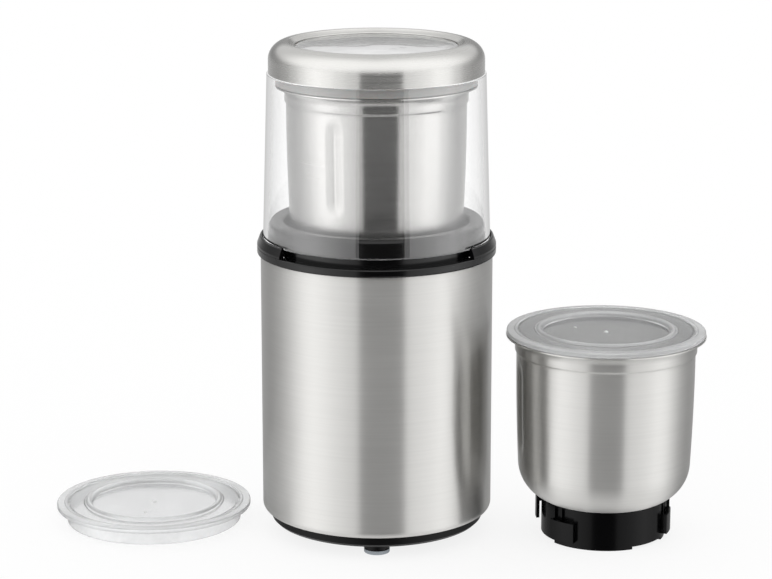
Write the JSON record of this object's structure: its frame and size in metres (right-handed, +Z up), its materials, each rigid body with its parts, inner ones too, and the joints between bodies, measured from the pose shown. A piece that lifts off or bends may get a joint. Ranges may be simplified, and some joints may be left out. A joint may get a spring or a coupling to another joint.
{
  "type": "electric spice grinder",
  "caption": "Electric spice grinder with press-down clear lid, lift-out steel cup on a bayonet skirt, spare cup and storage lids.",
  "frame": {"origin": "on the worktop, under the middle of the motor base", "axes": "+Z up, the front of the base towards -Y, +X to the spare cup's side"},
  "size_m": [0.298, 0.1114, 0.2259],
  "materials": {
    "brushed_shell": "brushed stainless steel sheet",
    "black_plastic": "glossy black moulding",
    "black_matte": "plain black moulding",
    "grey_rubber": "soft grey rubber",
    "black_rubber": "soft black rubber",
    "clear_plastic": "clear moulded plastic",
    "frosted_plastic": "translucent milky plastic",
    "seal_silicone": "translucent grey silicone",
    "polished_steel": "polished stainless steel",
    "plain_steel": "turned steel",
    "lamination": "stacked electrical steel",
    "copper": "enamelled copper wire",
    "brass_metal": "plain brass",
    "cast_alloy": "die-cast alloy",
    "carbon": "pressed carbon"
  },
  "bodies": {
    "motor_base": {"body_shell": "brushed_shell", "top_collar": "black_plastic", "bottom_cover": "black_plastic", "foot_pads": "grey_rubber", "bottom_screws": "plain_steel", "cord_gland": "black_rubber", "upper_bracket": "cast_alloy", "lower_bracket": "cast_alloy", "stator_core": "lamination", "field_coils": "copper", "upper_bearing": "plain_steel", "lower_bearing": "plain_steel", "brush_holders": "brass_metal", "carbon_brushes": "carbon", "brush_springs": "plain_steel", "motor_screws": "plain_steel", "rubber_mounts": "black_rubber", "shaft_seal": "black_rubber", "switch_body": "black_matte", "switch_screws": "plain_steel"},
    "rotor": {"motor_shaft": "polished_steel", "armature_core": "lamination", "armature_windings": "copper", "commutator": "copper", "cooling_fan": "black_matte", "drive_coupling": "black_matte"},
    "plunger": {"switch_plunger": "black_matte", "plunger_spring": "plain_steel"},
    "cup": {"cup_bowl": "brushed_shell", "cup_skirt": "black_plastic", "cup_bearing": "plain_steel", "cup_bearing_nut": "plain_steel"},
    "cup_knife_set": {"cup_spindle": "polished_steel", "cup_knife": "polished_steel", "cup_knife_nut": "polished_steel", "cup_coupling": "black_matte", "cup_clip": "plain_steel"},
    "seal": {"rim_seal": "seal_silicone"},
    "lid": {"lid_dome": "clear_plastic", "lid_cap": "brushed_shell"},
    "spare_cup": {"spare_bowl": "brushed_shell", "spare_skirt": "black_plastic", "spare_bearing": "plain_steel", "spare_bearing_nut": "plain_steel"},
    "spare_knife_set": {"spare_spindle": "polished_steel", "spare_knife": "polished_steel", "spare_knife_nut": "polished_steel", "spare_coupling": "black_matte", "spare_clip": "plain_steel"},
    "spare_lid": {"spare_storage_lid": "frosted_plastic"},
    "loose_lid": {"loose_storage_lid": "frosted_plastic"}
  },
  "joints": [
    {"name": "motor_spin", "type": "hinge", "parent": "motor_base", "child": "rotor", "pos_m": [0, 0, 0.06], "axis": [0, 0, 1], "continuous": true},
    {"name": "cup_lift", "type": "slide", "parent": "motor_base", "child": "cup", "axis": [0, 0, 1], "range_m": [0, 0.1]},
    {"name": "knife_spin", "type": "hinge", "parent": "cup", "child": "cup_knife_set", "pos_m": [0, 0, 0.13], "axis": [0, 0, 1], "continuous": true},
    {"name": "lid_press", "type": "slide", "parent": "cup", "child": "seal", "axis": [0, 0, 1], "range_m": [-0.003, 0], "stiffness_N_per_m": 1500, "springref_m": 0.003, "deforming": ["rim_seal"]},
    {"name": "lid_lift", "type": "slide", "parent": "seal", "child": "lid", "axis": [0, 0, 1], "range_m": [0, 0.11]},
    {"name": "plunger_press", "type": "slide", "parent": "motor_base", "child": "plunger", "axis": [0, 0, 1], "range_m": [-0.003, 0], "stiffness_N_per_m": 150, "springref_m": 0.004, "deforming": ["plunger_spring"]},
    {"name": "spare_cup_lift", "type": "slide", "parent": "motor_base", "child": "spare_cup", "axis": [0, 0, 1], "range_m": [0, 0.1]},
    {"name": "spare_knife_spin", "type": "hinge", "parent": "spare_cup", "child": "spare_knife_set", "pos_m": [0.1038, -0.0105, 0.017], "axis": [0, 0, 1], "continuous": true},
    {"name": "spare_lid_lift", "type": "slide", "parent": "spare_cup", "child": "spare_lid", "axis": [0, 0, 1], "range_m": [0, 0.05]},
    {"name": "loose_lid_lift", "type": "slide", "parent": "motor_base", "child": "loose_lid", "axis": [0, 0, 1], "range_m": [0, 0.1]}
  ],
  "couplings": [
    {"joint": "knife_spin", "follows": "motor_spin", "ratio": 1},
    {"joint": "plunger_press", "follows": "lid_press", "ratio": 1}
  ]
}
